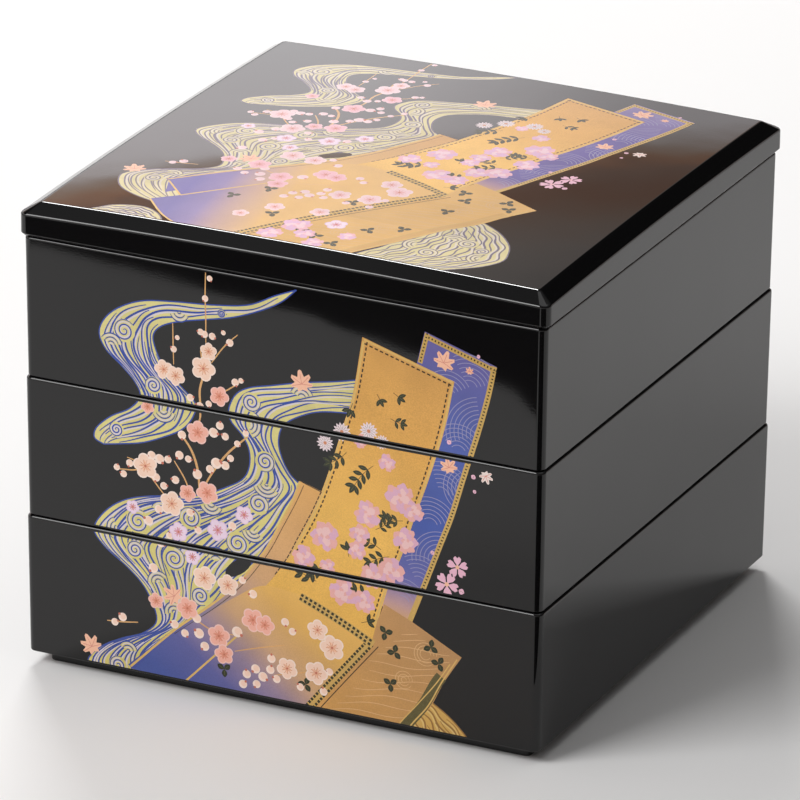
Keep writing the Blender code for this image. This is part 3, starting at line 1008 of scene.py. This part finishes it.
def lay_picture(body, facing, faces, rim, lift, normal_at, shift, corner_pull, grid):
    """Cuts a body's flat face into painted patches. Returns the paints used, in slot order."""
    faces = set(faces)
    rim_verts = walked_rim(body, faces)
    flat = [rim(vert.co) for vert in rim_verts]
    turn = sum(a.x * b.y - a.y * b.x for a, b in zip(flat, flat[1:] + flat[:1]))
    if turn < 0:
        rim_verts.reverse()
        flat.reverse()
    low = Vector((min(p.x for p in flat), min(p.y for p in flat)))
    high = Vector((max(p.x for p in flat), max(p.y for p in flat)))
    low += Vector((corner_pull, RIM))
    high -= Vector((corner_pull, RIM))
    inner = [low.copy(), Vector((high.x, low.y)), high.copy(), Vector((low.x, high.y))]
    points, outlines = list(inner), [[0, 1, 2, 3]]
    chosen, shapes = [], []
    for name, outline, parts in figures:
        placed = [p + shift for p in outline]
        if (max(p.x for p in placed) < low.x or min(p.x for p in placed) > high.x
                or max(p.y for p in placed) < low.y or min(p.y for p in placed) > high.y):
            continue
        outlines.append(list(range(len(points), len(points) + len(placed))))
        points += placed
        shapes += [(len(chosen), np.array(part) + np.array(shift)) for part in parts]
        chosen.append(name)
    if grid:
        span = high - low
        steps = [max(1, math.ceil(s / grid)) for s in span]
        points += [Vector((low.x + span.x * i / steps[0], low.y + span.y * j / steps[1]))
                   for i in range(steps[0] + 1) for j in range(steps[1] + 1)]
    corners, triangles, _ = cut_flat(points, outlines)
    flat_corners, numbers = np.array(corners), np.array(triangles)
    middles = flat_corners[numbers].mean(1)
    tops = topmost(middles, shapes)
    within = ((middles > np.array(low)) & (middles < np.array(high))).all(1)
    kept = [(triangles[k], tops[k]) for k in np.nonzero(within)[0]]
    used = sorted({i for t, _ in kept for i in t})
    bmesh.ops.delete(body, geom=list(faces), context="FACES")
    made = {}
    for i in used:
        made[i] = body.verts.new(lift(corners[i]))
        facing[made[i]] = normal_at(corners[i])
    slots, uses = ["ground"], []
    for t, top in kept:
        name = chosen[top] if top >= 0 else "ground"
        if name not in slots:
            slots.append(name)
        uses.append(([made[i] for i in t], slots.index(name)))

    def along_edge(p):
        """Where the point lies on the picture's edge, as (side, distance), or None off it."""
        for side, off, along in ((0, p.y - low.y, p.x), (1, p.x - high.x, p.y),
                                 (2, p.y - high.y, -p.x), (3, p.x - low.x, -p.y)):
            if abs(off) < SAME_PLACE:
                return side, along
        return None

    # A strip of lacquer joins the cut face to the face's own rim.
    border = [i for _, i in sorted((along_edge(corners[i]), i) for i in used
                                   if along_edge(corners[i]) is not None)]
    strip_points = flat + [corners[i] for i in border]
    loops = [list(range(len(flat))), list(range(len(flat), len(strip_points)))]
    spots, ring_triangles, origins = cut_flat(strip_points, loops)
    sources = rim_verts + [made[i] for i in border]
    for t in ring_triangles:
        middle = (spots[t[0]] + spots[t[1]] + spots[t[2]]) / 3
        beyond = not (low.x < middle.x < high.x and low.y < middle.y < high.y)
        if beyond and inside(middle, flat):
            uses.append(([sources[origins[i][0]] for i in t], 0))
    picture_map = body.loops.layers.uv.new("picture")
    whole_map = body.loops.layers.uv.new("OFBake")
    plain_faces = list(body.faces)
    for verts, slot_number in uses:
        if len(set(verts)) < 3:
            continue
        face = body.faces.new(verts)
        face.material_index = slot_number
        for corner in face.loops:
            spot = rim(corner.vert.co)
            corner[picture_map].uv = (spot - shift) / PICTURE_SIDE
            share = [(spot[k] - low[k] + 1) / (high[k] - low[k] + 2) for k in (0, 1)]
            corner[whole_map].uv = (MAP_MARGIN + (1 - 2 * MAP_MARGIN) * share[0],
                                    PICTURE_FROM + (1 - PICTURE_FROM - MAP_MARGIN) * share[1])
    give_cells(plain_faces, whole_map)
    return slots


def paint_tray(body, facing):
    """Paints the big flat face towards the front."""
    face = max((f for f in body.faces if f.normal.y < -0.9), key=lambda f: f.calc_area())
    upper = max(face.verts, key=lambda v: v.co.z).co.copy()
    lower = min(face.verts, key=lambda v: v.co.z).co.copy()
    normal = face.normal.copy()
    slope = (upper.y - lower.y) / (upper.z - lower.z)
    return lay_picture(
        body, facing, [face],
        rim=lambda co: Vector((co.x, co.z)) * PER_METRE,
        lift=lambda p: Vector((p.x / PER_METRE, lower.y + slope * (p.y / PER_METRE - lower.z),
                               p.y / PER_METRE)),
        normal_at=lambda p: normal, shift=Vector((0, 0)), corner_pull=FRONT_RIM, grid=0)


LID_PICTURE_SHIFT = Vector((-6, -63.5))
LID_FACE_SLACK = math.radians(1.2)
LID_GRID = 6.0


def paint_lid(body, facing):
    """Paints the crowned face within the chamfer."""

    def normal_at(p):
        rise = LID_CROWN / lid_half**2 / PER_METRE
        return Vector((rise * p.x, rise * p.y, 1)).normalized()

    top = [f for f in body.faces if f.calc_center_median().z > plateau_height
           and f.normal.angle(normal_at(f.calc_center_median() * PER_METRE)) < LID_FACE_SLACK]
    return lay_picture(
        body, facing, top,
        rim=lambda co: Vector((co.x, co.y)) * PER_METRE,
        lift=lambda p: Vector((p.x / PER_METRE, p.y / PER_METRE, plateau_height
                               + crown_lift(p.x / PER_METRE, p.y / PER_METRE))),
        normal_at=normal_at, shift=LID_PICTURE_SHIFT, corner_pull=RIM, grid=LID_GRID)


def painted(name, body, node, lay_on, place=""):
    """The finished piece with its picture, in the paints of its place where these differ."""
    facing = by_area(body)
    slots = lay_on(body, facing)
    piece = as_piece(name, body, facing, node)
    for slot_name in slots:
        piece.data.materials.append(paints.get(place + slot_name, paints[slot_name]))


for (name, node), tray in zip(TIERS, trays):
    painted(name, tray, node, paint_tray)
painted("crowned_lid", lid, "lid", paint_lid, "lid ")


# --- Table, light and camera ----------------------------------------------------------------------
# A plain pale table top under large soft lamps, in a room with a pale wall behind the box and a
# window on the left. The lacquer mirrors the room and the table.

TABLE_COLOUR = (0.87, 0.865, 0.86)
TABLE_HALF = 4


def staged(name, corners, faces, paint):
    """A flat thing of the studio, which isn't part of the box."""
    mesh = bpy.data.meshes.new(name)
    mesh.from_pydata(corners, [], faces)
    mesh.materials.append(paint)
    return in_scene(name, mesh)


def matt(name, colour):
    """A matt surface, very slightly mottled."""
    material, tree, shader = new_material(name)
    shader.inputs["Roughness"].default_value = 0.9
    shader.inputs["Specular IOR Level"].default_value = 0.2
    mottle = add_node(tree, "TexNoise", {"Scale": 14.0})
    tint = add_node(tree, "ValToRGB")
    tint.color_ramp.elements[0].color = tuple(0.985 * c for c in colour) + (1.0,)
    tint.color_ramp.elements[1].color = colour + (1.0,)
    link(tree, mottle.outputs["Fac"], tint.inputs["Fac"])
    link(tree, tint.outputs["Color"], shader.inputs["Base Color"])
    return material


table = staged("table", [(x * TABLE_HALF, y * TABLE_HALF, 0)
                         for x, y in ((-1, -1), (1, -1), (1, 1), (-1, 1))],
               [range(4)], matt("matt table paint", TABLE_COLOUR))

# Two black cards lie on the table beside the camera's view. The fronts mirror one as a dark slant
# near their top, and the near corner mirrors the other. They show in mirrored rays alone, so that
# the table stays plain: the camera doesn't see them, and they leave no shadow.
front_card = [(-0.40, -0.46), (-0.238, -0.437), (-0.199, -0.428), (-0.146, -0.423),
              (-0.087, -0.406), (-0.046, -0.386), (-0.032, -0.372), (0.0, -0.35),
              (0.0, -0.60), (-0.40, -0.60)]
corner_card = [(0.10, -0.16), (0.25, -0.14), (0.50, -0.30), (0.50, -0.62), (0.10, -0.62)]
cards = staged("black_cards", [(x, y, 0.0005) for x, y in front_card + corner_card],
               [range(len(front_card)),
                range(len(front_card), len(front_card) + len(corner_card))],
               matt("black card", (0.012, 0.012, 0.012)))
cards.visible_camera = cards.visible_diffuse = cards.visible_shadow = False


BOX_MIDDLE = Vector((0, 0, 0.09))


def soft_lamp(name, heading, height, distance, size, power):
    """A square soft lamp that faces the box from a heading (0 is +Y) and a height in degrees."""
    heading, height = math.radians(heading), math.radians(height)
    towards = Vector((math.sin(heading) * math.cos(height),
                      math.cos(heading) * math.cos(height), math.sin(height)))
    lamp_data = bpy.data.lights.new(name, "AREA")
    lamp_data.shape = "RECTANGLE"
    lamp_data.size, lamp_data.size_y = size
    lamp_data.energy = power
    lamp = in_scene(name, lamp_data)
    lamp.location = BOX_MIDDLE + towards * distance
    lamp.rotation_euler = towards.to_track_quat("Z", "Y").to_euler()


soft_lamp("key lamp", -33, 42, 2.2, (0.7, 0.42), 25)
soft_lamp("front lamp", -148, 41, 2.4, (1.2, 1.0), 35)
soft_lamp("top lamp", 60, 80, 2.2, (1.4, 1.4), 5)

world = bpy.data.worlds.new("studio")
bpy.context.scene.world = world
world.use_nodes = True
sky = world.node_tree
sky.nodes.clear()

# The room's light by height, a little aslant: dark below the table, a pale wall, a warm wooden
# ledge, dark again, and a pale ceiling. Towards the window on the left it is twice as bright.
place = add_node(sky, "TexCoord")
split = add_node(sky, "SeparateXYZ")
link(sky, place.outputs["Generated"], split.inputs["Vector"])
aslant = add_node(sky, "Math", {1: 0.27}, "MULTIPLY_ADD")
link(sky, split.outputs["X"], aslant.inputs[0])
link(sky, split.outputs["Z"], aslant.inputs[2])
heights = add_node(sky, "ValToRGB")
link(sky, aslant.outputs[0], heights.inputs["Fac"])
set_ramp(heights, [(position, colour + (1,)) for position, colour in (
    (0.0, (0.07, 0.07, 0.07)), (0.04, (0.6, 0.6, 0.6)), (0.15, (0.70, 0.68, 0.69)),
    (0.224, (0.76, 0.71, 0.72)), (0.229, (0.44, 0.36, 0.32)), (0.238, (0.40, 0.27, 0.19)),
    (0.2395, (0.46, 0.19, 0.09)), (0.2425, (0.44, 0.19, 0.10)), (0.244, (0.27, 0.20, 0.17)),
    (0.263, (0.27, 0.145, 0.10)), (0.276, (0.29, 0.21, 0.17)), (0.294, (0.30, 0.26, 0.24)),
    (0.33, (0.22, 0.21, 0.20)), (0.39, (0.01, 0.01, 0.01)), (0.58, (0.01, 0.01, 0.01)),
    (1.0, (0.2, 0.2, 0.2)))])
leftward = add_node(sky, "MapRange", {"From Min": -0.355, "From Max": -0.425,
                                      "To Min": 1.48, "To Max": 2.9})
leftward.interpolation_type = "SMOOTHSTEP"
link(sky, split.outputs["X"], leftward.inputs["Value"])
backdrop = add_node(sky, "Background")
sky_out = add_node(sky, "OutputWorld")
link(sky, heights.outputs["Color"], backdrop.inputs["Color"])
link(sky, leftward.outputs["Result"], backdrop.inputs["Strength"])
link(sky, backdrop.outputs["Background"], sky_out.inputs["Surface"])

# The camera stands where the photograph was taken, by the box's own edges.
CAMERA_PLACE = (1.103376, -2.327344, 1.105891)
CAMERA_TURN = math.radians(25.39765)
CAMERA_HEIGHT = math.radians(21.70168)
CAMERA_ROLL = math.radians(0.56832)
CAMERA_LENS = 358.7057

camera_data = bpy.data.cameras.new("camera")
camera_data.lens = CAMERA_LENS
camera_data.sensor_width = 36.0
camera_data.clip_end = 50.0
camera = in_scene("camera", camera_data)
back = Vector((math.sin(CAMERA_TURN) * math.cos(CAMERA_HEIGHT),
               -math.cos(CAMERA_TURN) * math.cos(CAMERA_HEIGHT), math.sin(CAMERA_HEIGHT)))
right = Vector((math.cos(CAMERA_TURN), math.sin(CAMERA_TURN), 0))
up = back.cross(right)
rolled_right = right * math.cos(CAMERA_ROLL) + up * math.sin(CAMERA_ROLL)
rolled_up = up * math.cos(CAMERA_ROLL) - right * math.sin(CAMERA_ROLL)
camera.matrix_world = Matrix.Translation(CAMERA_PLACE) @ Matrix(
    (rolled_right, rolled_up, back)).transposed().to_4x4()
bpy.context.scene.camera = camera
bpy.context.scene.view_settings.view_transform = "Standard"
